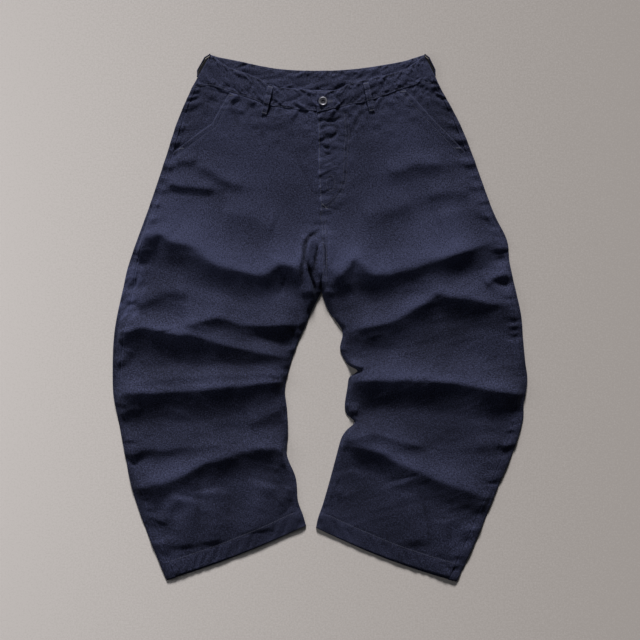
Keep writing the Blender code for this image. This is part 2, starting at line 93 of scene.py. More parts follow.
# Folds: crest line, height, length of the lit ramp (left of the way it runs), width of the shaded side, and
# how sharply the crest turns over (0 soft, 1 sharp).
folds = {
    "left": (
        (((18, 56), (32, 74), (50, 92), (67, 113), (84, 97), (103, 85), (120, 82), (150, 88), (180, 98),
          (215, 111), (250, 120), (300, 137), (352, 156)), 22.4, 84, 37, 0.9),
        (((322, 66), (345, 82), (372, 84)), 7.5, 18, 14, 0.8),
        (((44, -22), (100, -17), (150, 1), (190, 23), (214, 40), (228, 51), (248, 46), (300, 33),
          (385, 20)), 19, 46, 40, 0.9),
        (((52, -96), (64, -94), (80, -95)), 7.5, 12, 10, 1.0),
        (((50, -125), (100, -121), (150, -119), (200, -120), (250, -125), (300, -134), (350, -145),
          (396, -150)), 23, 52, 42, 1.0),
        (((54, -186), (62, -184), (72, -186)), 6, 12, 10, 1.0),
        (((40, -241), (80, -232), (110, -227), (150, -235), (212, -250)), 9.5, 40, 17, 0.9),
        (((50, -250), (80, -252), (125, -263), (150, -277), (175, -291), (200, -299), (250, -321),
          (285, -338), (334, -350)), 16.2, 50, 34, 0.9),
        (((300, -246), (345, -252)), 3, 16, 12, 0.6),
        (((182, -448), (180, -400), (172, -345), (160, -312)), 7.5, 44, 34, 0.3),
        (((238, -470), (243, -420), (240, -390)), 3.8, 26, 14, 0.3),
        (((128, 281), (160, 288), (190, 299), (246, 295)), 5.2, 26, 17, 0.7),
        (((212, 237), (250, 244), (292, 246)), 6, 26, 22, 0.7),
        (((80, 198), (130, 211), (182, 224)), 4.5, 34, 26, 0.4),
        (((225, 190), (270, 204), (330, 214)), 4.5, 30, 30, 0.3),
        (((12, -318), (26, -312), (40, -318)), 3, 12, 10, 0.5),
        (((14, -340), (30, -333), (46, -338)), 3, 12, 10, 0.5),
        (((10, 40), (12, 110), (8, 170)), 7, 16, 18, 0.6),
    ),
    "right": (
        (((-380, 112), (-366, 138), (-345, 151), (-312, 161), (-290, 146), (-255, 137), (-225, 119),
          (-190, 103), (-150, 91), (-122, 85), (-104, 88), (-92, 97), (-84, 105), (-68, 104), (-52, 98),
          (-43, 78), (-36, 58)), 21.6, 84, 40, 0.9),
        (((-356, 22), (-325, 40), (-295, 49), (-256, 49)), 7.5, 30, 24, 0.8),
        (((-268, -15), (-230, -4), (-198, 1), (-150, -13), (-100, -13), (-42, -11)), 18.9, 62, 27, 1.0),
        (((-400, -44), (-375, -28), (-350, -18), (-300, -26), (-250, -34), (-200, -44), (-150, -57),
          (-100, -71), (-56, -80)), 18.9, 30, 38, 1.0),
        (((-392, -150), (-350, -141), (-300, -143), (-200, -134), (-150, -130), (-100, -126),
          (-66, -123)), 20.2, 36, 42, 1.0),
        (((-398, -188), (-375, -180), (-348, -176)), 3.5, 14, 10, 0.8),
        (((-398, -90), (-378, -78), (-366, -58)), 4, 14, 10, 0.7),
        (((-140, -204), (-105, -192), (-68, -177)), 6, 34, 18, 0.7),
        (((-390, -248), (-340, -257), (-290, -254), (-240, -248), (-185, -243)), 7, 36, 17, 0.9),
        (((-364, -330), (-330, -323), (-300, -316), (-270, -305), (-225, -282), (-200, -272),
          (-150, -256), (-120, -252), (-90, -254), (-70, -262), (-55, -280), (-46, -304)),
          17.6, 36, 40, 0.9),
        (((-357, -121), (-300, -119), (-200, -112), (-120, -108), (-88, -108)), 3.2, 14, 7, 0.9),
        (((-204, -440), (-208, -390), (-215, -330)), 9, 30, 26, 0.3),
        (((-122, -420), (-120, -370), (-105, -318)), 8, 30, 34, 0.3),
        (((-262, -448), (-262, -400), (-252, -345)), 8.5, 34, 26, 0.3),
        (((-306, -400), (-292, -372), (-268, -345)), 4.5, 18, 14, 0.6),
        (((-80, -362), (-64, -345), (-56, -330)), 3.8, 14, 12, 0.6),
        (((-300, 265), (-275, 259), (-250, 255), (-203, 249)), 6, 26, 9, 1.0),
        (((-238, 292), (-205, 284), (-185, 269), (-148, 255)), 5.2, 26, 13, 0.7),
        (((-282, 309), (-240, 305)), 3.8, 16, 8, 0.9),
        (((-190, 204), (-140, 196), (-88, 176)), 6, 40, 34, 0.4),
        (((-338, 218), (-312, 214)), 3.8, 14, 9, 0.7),
        (((-19, 40), (-30, 104), (-18, 160)), 10, 18, 14, 0.7),
    ),
}
# Creases: line, depth and half width of thin valleys
creases = {
    "left": (
        (((87, 428), (76, 392), (62, 364), (55, 345)), 2.4, 9),
        (((50, 405), (54, 350), (52, 300), (48, 260)), 0.8, 6),
        (((0, 211), (15, 214), (42, 206)), 1.8, 6), (((6, 150), (11, 123), (12, 84)), 7, 6),
        (((196, -340), (206, -380), (213, -420), (212, -446)), 2.0, 9),
        (((252, -408), (254, -442)), 1.2, 7), (((2, 388), (20, 387), (45, 393)), 3.2, 6),
        (((8, 376), (28, 373), (32, 362), (20, 350), (3, 341)), 3.4, 6), (((3, 334), (20, 329)), 2.8, 6),
        (((4, 322), (22, 318)), 2.0, 5), (((36, 356), (52, 352)), 2.0, 6),
        (((30, 404), (55, 398)), 1.4, 5), (((150, 436), (156, 405)), 1.2, 7),
        (((136, 424), (118, 398)), 1.2, 7),
        (((10, 262), (24, 280), (33, 268), (30, 250), (14, 246)), 0.9, 4),
    ),
    "right": (
        (((-176, 428), (-167, 400), (-160, 366)), 2.2, 12), (((-152, 432), (-128, 402)), 1.6, 8),
        (((-50, 332), (-36, 290), (-20, 258), (-4, 214)), 1.3, 8),
        (((-255, 402), (-264, 352), (-284, 318)), 2.0, 8),
        (((-98, -115), (-88, -119), (-78, -118)), 3.0, 6), (((-60, -18), (-52, -26), (-50, -40)), 3.0, 6),
        (((-4, 168), (-27, 149), (-31, 114), (-35, 93), (-34, 66)), 11, 8.5),
        (((-27, 113), (-19, 86), (-13, 62), (-11, 40)), 12, 7), (((-4, 144), (-9, 112), (-12, 84)), 7, 5),
        (((-236, -310), (-238, -405)), 1.6, 10), (((-176, -345), (-178, -395)), 1.2, 9),
        (((-85, -392), (-62, -372), (-54, -350)), 1.6, 7),
        (((-225, 448), (-200, 443), (-176, 436)), 1.6, 8), (((-120, 398), (-110, 340)), 0.8, 10),
        (((-350, 106), (-357, 82), (-361, 56)), 3.0, 6.5),
    ),
}

# Crumples: size, height and seed. Puckers: height, size, how far they reach from the seam, and seed.
crumples = ((34, 1.6, 14), (17, 0.8, 15), (9, 0.3, 16))
puckers = {"sideSeam": (3.2, 14, 24, 17), "sideSeamFine": (2.0, 7, 12, 18), "centre": (1.5, 10, 17, 19),
           "waist": (2.4, 9, 22, 20), "waistWide": (2.1, 14, 70, 21), "waistFine": (1.1, 7, 42, 22),
           "topstitch": (1.2, 9, 16, 90), "fly": (1.4, 8, 22, 91), "flyEdge": (1.3, 6.5, 7, 92),
           "flySlant": (1.2, 5, 20, 93)}

frontBand = {
    "left": ((-6, 442, -6, 400), (33, 444, 31, 408), (55, 456, 58, 415), (92, 465, 98, 423),
             (146, 478, 160, 446), (179, 493, 205, 457), (203, 513, 234, 450)),
    "right": ((20, 442, 20, 402), (-39, 446, -39, 405), (-88, 452, -96, 413), (-127, 470, -133, 426),
              (-177, 488, -183, 442), (-199, 503, -216, 452), (-213, 513, -251, 446)),
}
backBand = ((-213, 513, -251, 446), (-196, 508, -218, 459), (-170, 503, -180, 459), (-84, 486, -88, 444),
            (0, 482, 0, 440), (74, 486, 77, 444), (156, 499, 163, 459), (184, 507, 205, 461),
            (203, 513, 234, 450))


def smooth(t):
    t = np.clip(t, 0.0, 1.0)
    return t * t * (3.0 - 2.0 * t)


def between(t, ends, last=1.0):
    # up from 0 at t = 0 and down to 0 at last, over this much at both ends
    return smooth(t / ends) * smooth((last - t) / ends)


def rounded(d, radius):
    # a quarter circle: sqrt(1 - (1 - d/r)^2)
    return np.sqrt(1.0 - (1.0 - np.clip(d / radius, 0.0, 1.0)) ** 2)


def hill(d, width):
    # 1 on a line and less to both sides: exp(-(d / width)^2)
    return np.exp(-((d / width) ** 2))


def spline(rows, at):
    # Catmull-Rom through the rows, read at row numbers
    rows = np.asarray(rows, float)
    padded = np.concatenate([rows[:1], rows, rows[-1:]])
    at = np.clip(np.asarray(at, float), 0.0, len(rows) - 1)
    start = np.minimum(at.astype(int), len(rows) - 2)
    u = (at - start)[..., None]
    before, first, last, after = (padded[start + step] for step in range(4))
    return (first * (2 * u**3 - 3 * u**2 + 1) + 0.5 * (last - before) * (u**3 - 2 * u**2 + u)
            + last * (3 * u**2 - 2 * u**3) + 0.5 * (after - first) * (u**3 - u**2))


def runAlong(line):
    # how far along the line each of its points is
    return np.concatenate([[0], np.cumsum(np.hypot(*np.diff(line, axis=0).T))])


def squareTo(way):
    # one long, at right angles to the way and to its left
    return np.array([-way[1], way[0]]) / np.hypot(*way)


def cloudy(x, y, size, seed):
    # smooth noise from -1 to 1: random numbers on a grid of this size, eased between
    numbers = np.random.default_rng(seed).uniform(-1, 1, (64, 64))
    u, v = np.asarray(x) / size, np.asarray(y) / size
    i, j = np.floor(u).astype(int), np.floor(v).astype(int)
    a, b = smooth(u - i), smooth(v - j)
    low = numbers[i % 64, j % 64] * (1 - a) + numbers[(i + 1) % 64, j % 64] * a
    high = numbers[i % 64, (j + 1) % 64] * (1 - a) + numbers[(i + 1) % 64, (j + 1) % 64] * a
    return low * (1 - b) + high * b


def pucker(kind, u, v, off):
    # height * noise * exp(-(off / reach)^2)
    height, size, reach, seed = puckers[kind]
    return height * cloudy(u, v, size, seed) * hill(off, reach)


def toLine(x, y, points):
    # distance to a smooth line, which side of it (positive on its left), and the share along it
    steps = max(14, 4 * len(points))
    line = spline(points, np.linspace(0, len(points) - 1, steps))
    nearest, side, along = np.full(x.shape, 1e9), np.zeros(x.shape), np.zeros(x.shape)
    for number in range(steps - 1):
        start, run = line[number], line[number + 1] - line[number]
        share = np.clip(((x - start[0]) * run[0] + (y - start[1]) * run[1]) / (run @ run), 0, 1)
        offX, offY = x - start[0] - share * run[0], y - start[1] - share * run[1]
        distance = np.hypot(offX, offY)
        closer = distance < nearest
        nearest = np.where(closer, distance, nearest)
        side = np.where(closer, run[0] * offY - run[1] * offX, side)
        along = np.where(closer, (number + share) / (steps - 1), along)
    return nearest, side, along


def foldRise(x, y, fold):
    # height * p(t) * taper, t = d / width. Up the lit ramp p is (1 - t)^1.9, past the crest (1 - t)^1.75, and
    # near it d is sqrt(d^2 + r^2) - r, so that it turns over on a small radius.
    points, height, lit, shaded, sharp = fold
    nearest, side, along = toLine(x, y, points)
    radius = np.where(side > 0, 11.0 - 4.5 * sharp, 9.0 - 6.5 * sharp)
    nearest = np.sqrt(nearest**2 + radius**2) - radius
    wide = np.where(side > 0, 1.25 * lit, 1.42 * shaded) * (1 + 0.1 * cloudy(x, y, 60, int(shaded)))
    t = np.clip(nearest / wide, 0, 1)
    p = np.where(side > 0, (1 - t) ** 1.9, (1 - t) ** 1.75)
    taper = 0.3 + 0.7 * between(along, 0.14)
    return height * p * taper * (1 + 0.12 * cloudy(x, y, 70, int(height) + 3))


def creaseDrop(x, y, crease):
    # depth * (1 - d/w)^2 * taper, a thin V
    points, depth, width = crease
    nearest, side, along = toLine(x, y, points)
    return depth * np.clip(1 - nearest / width, 0, 1) ** 2 * (0.25 + 0.75 * between(along, 0.3))


def lowerLegShadeAndFade(y):
    # painted shade: the lower legs are darker than the thighs and the seat, with the thighs also faded paler
    # by wear
    return 0.25 * smooth((130 - y) / 150) - 0.02 * smooth((-240 - y) / 80)


def paintedEdgeLightAndWear(x, y, off, side):
    # painted highlight and side-seam wear: pale streaks on the right leg's outer edge at the knee, off
    # millimetres in from the side seam
    edgeLightStreaks = 0.45 + 0.8 * np.clip(cloudy(0.3 * (x + y), x - y, 7, 24), -0.3, 1)
    foot, top = -12, 108
    return (side == "right") * edgeLightStreaks * between(y - foot, 20, top - foot) * hill(off, 18)


def seamHeight(stations, x):
    # y of the waistband's lower edge
    line = spline([row[2:4] for row in stations], np.linspace(0, len(stations) - 1, 61))
    line = line[np.argsort(line[:, 0])]
    return np.interp(x, line[:, 0], line[:, 1])


class Leg:
    # one leg's outline and the height of the cloth over it
    def __init__(self, side):
        self.side = side
        self.rows = np.array(sections[side], float)
        self.last = len(self.rows) - 1
        self.sign = 1.0 if side == "left" else -1.0
        fine = np.linspace(0, self.last, 1500)
        outer, inner = self.edges(fine)
        length = runAlong(0.55 * outer + 0.45 * inner)
        self.length = length[-1]
        steps = int(self.length / cloth["spacing"]) + 1
        self.down = np.interp(np.linspace(0, self.length, steps), length, fine)
        self.run = lambda down: np.interp(down, fine, length)
        outer, inner = self.edges(np.full(25, float(self.last)))
        share = np.linspace(0, 1, 25)[:, None]
        self.hemLine = inner + (outer - inner) * share
        self.hemLine[:, 1] -= self.rows[-1, 5] * np.sin(np.pi * share[:, 0])

    def edges(self, down):
        outer = spline(self.rows[:, 0:2], down)
        centre = spline(self.rows[: crotchRow + 1, 2:4], down)
        inseam = spline(self.rows[crotchRow:, 2:4], down - crotchRow)
        inner = np.where((down < crotchRow)[..., None], centre, inseam)
        inner[..., 0] += self.sign * cloth["gap"] / 2
        for y, depth, halfWidth in notches[self.side]:
            tuck = depth * hill(inner[..., 1] - y, halfWidth)
            inner[..., 0] += self.sign * tuck * (down > crotchRow)
        return outer, inner

    def inset(self, down):
        return spline(self.rows[:, 4:5], down)[..., 0]

    def width(self, down):
        outer, inner = self.edges(down)
        return np.hypot(*np.moveaxis(outer - inner, -1, 0))

    def sideSeam(self, down):
        return 1.0 - (self.inset(down) + cloth["gap"] / 2) / self.width(down)

    def mouth(self, down):
        end = self.sideSeam(np.array([2.0]))[0]
        return np.interp(down, (0, 1, 2), (*mouthShare[self.side], end))

    def place(self, across, down, seam, clear=0.5):
        # x and y at a share across and a row down; the first rows bend to lie along the waistband's seam
        outer, inner = self.edges(down)
        x = inner[..., 0] + (outer[..., 0] - inner[..., 0]) * across
        y = inner[..., 1] + (outer[..., 1] - inner[..., 1]) * across
        y = y - spline(self.rows[:, 5:6], down)[..., 0] * np.sin(np.pi * np.clip(across, 0, 1))
        topOuter, topInner = self.edges(np.zeros_like(down))
        topX = topInner[..., 0] + (topOuter[..., 0] - topInner[..., 0]) * across
        topY = topInner[..., 1] + (topOuter[..., 1] - topInner[..., 1]) * across
        return x, y + (seamHeight(seam, topX) - clear - topY) * (1 - smooth(down / 2.6))

    def rise(self, across, down, x, y):
        # how far the front's underside stands off the clearance over the back
        width = self.width(down)
        toOuter = (1.0 - across) * width
        # the legs part over the last of the centre seam
        joined = 22 * (1 - smooth(down - crotchRow + 1.0))
        toInner = across * width + joined
        bentX = x + 3.5 * cloudy(x, y, 48, 10) + 1.5 * cloudy(x, y, 17, 11)
        bentY = y + 3.5 * cloudy(x, y, 48, 12) + 1.5 * cloudy(x, y, 17, 13)
        high = sum(foldRise(bentX, bentY, fold) for fold in folds[self.side])
        low = sum(creaseDrop(bentX, bentY, crease) for crease in creases[self.side])
        # above the crotch the other leg's folds run on over the centre seam
        other = "right" if self.side == "left" else "left"
        reachX, fromY = 110, 45
        near = (np.abs(x) < reachX) & (y > fromY)
        if near.any():
            shared = smooth((y[near] - fromY) / 40) * smooth((reachX - np.abs(x[near])) / 60)
            spot = bentX[near], bentY[near]
            high[near] += shared * sum(foldRise(*spot, fold) for fold in folds[other])
            low[near] += shared * sum(creaseDrop(*spot, crease) for crease in creases[other])
        high = high * smooth(toOuter / cloth["outerFade"]) * smooth(toInner / cloth["innerFade"]) - low
        # crumples: ridged noise, stretched across the leg, stronger below the knee
        strong = 0.3 + 0.7 * smooth((160 - y) / 200)
        for size, height, seed in crumples:
            ridges = np.abs(cloudy(x * 0.6, y - 0.25 * np.abs(x), size, seed))
            high = high + height * strong * (0.5 - ridges)
        # the hem lies flatter
        length = self.run(down)
        pressed = 0.35 + 0.65 * smooth((self.length - length) / cloth["flatHem"])
        tube = pressed * (cloth["lift"] + high)
        tube = tube * rounded(toOuter, cloth["edgeRound"]) * rounded(toInner, cloth["edgeRound"])
        # puckers along the side seam, the inseam and the centre seam
        offSeam = np.abs(across - self.sideSeam(down)) * width
        offInner = across * width
        small = pucker("sideSeam", length + 0.3 * offSeam, offSeam * 0.15, offSeam)
        small = small + pucker("sideSeamFine", length, offSeam * 0.2, offSeam)
        small = small + pucker("centre", y, offInner * 0.15, offInner)
        # and below the waistband, up and down
        small = small + pucker("waist", x + 0.6 * length, length * 0.25, length)
        small = small + pucker("waistWide", x, y, length)
        small = small + pucker("waistFine", 0.7 * x, 1.2 * y, length)
        return np.maximum(tube + small * smooth(toOuter / 6 + 0.3), 0.0)


def meshObject(name, points, quads, material, uv=None, wearAndPaintedLight=None):
    # points in millimetres
    mesh = bpy.data.meshes.new(name)
    mesh.vertices.add(len(points))
    mesh.vertices.foreach_set("co", (np.asarray(points) * 0.001).ravel())
    mesh.loops.add(quads.size)
    mesh.loops.foreach_set("vertex_index", quads.ravel().astype(np.int32))
    mesh.polygons.add(len(quads))
    mesh.polygons.foreach_set("loop_start", np.arange(0, quads.size, quads.shape[1], dtype=np.int32))
    mesh.update(calc_edges=True)
    mesh.validate()
    if uv is not None:
        layerUv = mesh.uv_layers.new(name="cloth")
        layerUv.data.foreach_set("uv", uv[quads.ravel()].ravel())
    if wearAndPaintedLight is not None:
        mesh.attributes.new("wearAndPaintedLight", "FLOAT", "POINT").data.foreach_set("value", wearAndPaintedLight.astype(np.float32))
    mesh.polygons.foreach_set("use_smooth", np.ones(len(quads), bool))
    mesh.materials.append(material)
    obj = bpy.data.objects.new(name, mesh)
    bpy.context.scene.collection.objects.link(obj)
    return obj


def outward(points, faces):
    # the faces of a closed mesh, turned over if its volume, a sum of det(a, b, c), comes out negative
    halves = np.concatenate([faces[:, (0, 1, 2)], faces[:, (0, 2, 3)]])
    return faces[:, ::-1] if np.linalg.det(points[halves]).sum() < 0 else faces


def shell(name, top, under, material, uv, wearAndPaintedLight):
    # a closed sheet between two grids of points; uv is in millimetres on the cloth
    rows, columns = top.shape[:2]
    count = rows * columns
    index = np.arange(count).reshape(rows, columns)
    quads = np.stack([index[:-1, :-1], index[1:, :-1], index[1:, 1:], index[:-1, 1:]], -1).reshape(-1, 4)
    border = np.concatenate([index[:, 0], index[-1, 1:], index[-2::-1, -1], index[0, -2:0:-1]])
    after = np.roll(border, -1)
    rim = np.stack([border, border + count, after + count, after], -1)
    faces = np.concatenate([quads, quads[:, ::-1] + count, rim])
    points = np.concatenate([top.reshape(-1, 3), under.reshape(-1, 3)])
    faces = outward(points, faces)
    uv, wearAndPaintedLight = np.concatenate([uv.reshape(-1, 2)] * 2), np.concatenate([wearAndPaintedLight.ravel()] * 2)
    return meshObject(name, points, faces, material, uv, wearAndPaintedLight)


def steepness(x, y, z, most=2.2):
    # sqrt(1 + slope^2), by which a sloping wall is taller than it is thick
    squares = 1.0
    for axis in (0, 1):
        step = np.maximum(np.hypot(np.gradient(x, axis=axis), np.gradient(y, axis=axis)), 0.05)
        squares = squares + (np.gradient(z, axis=axis) / step) ** 2
    return np.minimum(np.sqrt(squares), most)


def stack(x, y, z):
    return np.stack([x, y, z], -1)


class Value:
    # a socket that takes part in sums
    def __init__(self, tree, socket):
        self.tree, self.socket = tree, socket

    def math(self, operation, *values):
        made = self.tree.nodes.new("ShaderNodeMath")
        made.operation = operation
        for socket, value in zip(made.inputs, values):
            plug(self.tree, socket, value)
        return Value(self.tree, made.outputs[0])

    def __add__(self, other):
        return self.math("ADD", self, other)

    def __sub__(self, other):
        return self.math("SUBTRACT", self, other)

    def __rsub__(self, other):
        return self.math("SUBTRACT", other, self)

    def __mul__(self, other):
        return self.math("MULTIPLY", self, other)

    __radd__ = __add__
    __rmul__ = __mul__

    def sine(self):
        return self.math("SINE", self)


def plug(tree, socket, value):
    if isinstance(value, Value):
        tree.links.new(value.socket, socket)
    else:
        socket.default_value = value


class Finish:
    def __init__(self, name, **settings):
        self.material = bpy.data.materials.new(name)
        self.material.use_nodes = True
        self.tree = self.material.node_tree
        self.shader = self.tree.nodes["Principled BSDF"]
        for key, value in settings.items():
            self.shader.inputs[key.replace("_", " ")].default_value = value

    def node(self, kind, settings, sockets, output=0):
        made = self.tree.nodes.new("ShaderNode" + kind)
        for key, value in settings.items():
            setattr(made, key, value)
        for key, value in sockets.items():
            plug(self.tree, made.inputs[key], value)
        return Value(self.tree, made.outputs[output])

    def mix(self, factor, a, b, blend="MIX"):
        return self.node("Mix", {"data_type": "RGBA", "blend_type": blend}, {0: factor, 6: a, 7: b}, 2)

    def set(self, **values):
        for key, value in values.items():
            plug(self.tree, self.shader.inputs[key.replace("_", " ")], value)
        return self.material


# the two colours that each finish is mixed from, and the tint of the cloth's sheen
colours = {"twill": ((0.0045, 0.0053, 0.0130, 1), (0.036, 0.041, 0.086, 1)),
           "bandTwill": ((0.0050, 0.0058, 0.0135, 1), (0.037, 0.042, 0.088, 1)),
           "thread": ((0.020, 0.023, 0.045, 1), (0.058, 0.064, 0.105, 1)),
           "tackThread": ((0.026, 0.030, 0.055, 1), (0.080, 0.086, 0.125, 1)),
           "button": ((0.025, 0.025, 0.032, 1), (0.17, 0.17, 0.20, 1)),
           # the floor's pair is the pale and the dark end of a painted light falloff
           "floor": ((0.475, 0.45, 0.445, 1), (0.345, 0.32, 0.31, 1)), "sheen": (0.25, 0.3, 0.55, 1)}
# how strongly each layer of the weave shows in the colour, then how high it stands
weave = {"yarns": 1.1, "specks": 2.3, "slubs": 1.2, "patches": 0.8, "ribs": 0.07, "middle": 0.42,
         "ribHigh": 0.12, "yarnHigh": 0.5, "slubHigh": 0.9, "speckHigh": 0.5}


def clothFinish(name, deep, wornAndLit, grain=1.0):
    # washed twill: a fine diagonal rib, uneven yarns both ways and soft patches, paler where wear and painted
    # light are high, darker where painted shade is
    f = Finish(name, Roughness=0.86, Sheen_Weight=0.15, Sheen_Roughness=0.45)
    f.shader.inputs["Sheen Tint"].default_value = colours["sheen"]
    f.shader.inputs["Specular IOR Level"].default_value = 0.12
    place = f.node("UVMap", {"uv_map": "cloth"}, {})
    spot = f.node("TexCoord", {}, {}, "Object")
    # u + v in millimetres: lines at 45 degrees, 1.5 mm apart along the yarns
    slant = f.node("VectorMath", {"operation": "DOT_PRODUCT"}, {0: place, 1: (1, 1, 0)}, "Value")
    rib = (slant * 4.2).sine()

    def noise(vector, scale, detail, stretch=(1, 1, 1)):
        moved = f.node("VectorMath", {"operation": "MULTIPLY"}, {0: vector, 1: stretch})
        return f.node("TexNoise", {}, {"Vector": moved, "Scale": scale, "Detail": detail}) - 0.5

    warp, weft = noise(place, 1.0, 2.0, (1.3, 0.14, 1)), noise(place, 1.0, 2.0, (0.14, 1.3, 1))
    speck, slub = noise(place, 0.5, 2.0), noise(place, 0.3, 3.0)
    patch = noise(spot, 9.0, 3.0)
    wearAndPaintedLight = f.node("Attribute", {"attribute_name": "wearAndPaintedLight"}, {}, "Fac")
    shade = wearAndPaintedLight + warp * weave["yarns"] + weft * weave["yarns"] + speck * weave["specks"]
    shade = shade + slub * weave["slubs"] + patch * weave["patches"] + rib * weave["ribs"]
    colour = f.mix(shade + weave["middle"], deep, wornAndLit)
    height = rib * weave["ribHigh"] + (warp + weft) * weave["yarnHigh"]
    height = height + slub * weave["slubHigh"] * grain + speck * weave["speckHigh"] * grain
    bump = f.node("Bump", {}, {"Strength": 0.6, "Distance": 0.001, "Height": height})
    return f.set(Base_Color=colour, Normal=bump)


twill = clothFinish("twill", *colours["twill"])
bandTwill = clothFinish("waistbandTwill", *colours["bandTwill"], 1.3)


def threadFinish(name, dark, pale):
    f = Finish(name, Roughness=0.75)
    spot = f.node("TexCoord", {}, {}, "Object")
    twist = f.node("TexNoise", {}, {"Vector": spot, "Scale": 700.0, "Detail": 2.0})
    return f.set(Base_Color=f.mix(twist, dark, pale))


thread = threadFinish("thread", *colours["thread"])
tackThread = threadFinish("tackThread", *colours["tackThread"])
floorPaper = Finish("floor", Roughness=0.95)
spot = floorPaper.node("TexCoord", {}, {}, "Object")
# painted light: the floor's colour darkens towards +X as if the side light fell off across it; the mottle is
# its own grain
across = floorPaper.node("VectorMath", {"operation": "DOT_PRODUCT"}, {0: spot, 1: (1, 0, 0)}, "Value")
mottle = floorPaper.node("TexNoise", {}, {"Vector": spot, "Scale": 330.0, "Detail": 2.0})
shade = across * 0.8 + 0.5 + (mottle - 0.5) * 1.3
floorFinish = floorPaper.set(Base_Color=floorPaper.mix(shade, *colours["floor"]))

legs = {side: Leg(side) for side in ("left", "right")}
made = {}


def columns(count, ends=0.4):
    # shares from 0 to 1, closer together near both ends
    s = np.linspace(0, 1, count)
    return (1 - ends) * s + ends * (0.5 - 0.5 * np.cos(np.pi * s))


def lip(d, radius=1.0, drop=0.8):
    # how far a cut edge rolls down: drop at d = 0, nothing one radius in
    return drop * (1 - rounded(d, radius))


# Fronts: share across x down each leg. z = clearance + lift, and the fly of the left one is raised over the
# right one's underlap.
fronts = {"columns": 100, "hemShort": {"left": 0.085, "right": 0.05}, "roping": 2.4,
          "mouthLift": 0.6, "mouthWear": {"left": 0.04, "right": 0.24}, "mouthRows": (2.2, 10.5),
          "flat": {"left": (0.40, 1.02, 0.295), "right": (0.39, 1.00, 0.292)}}
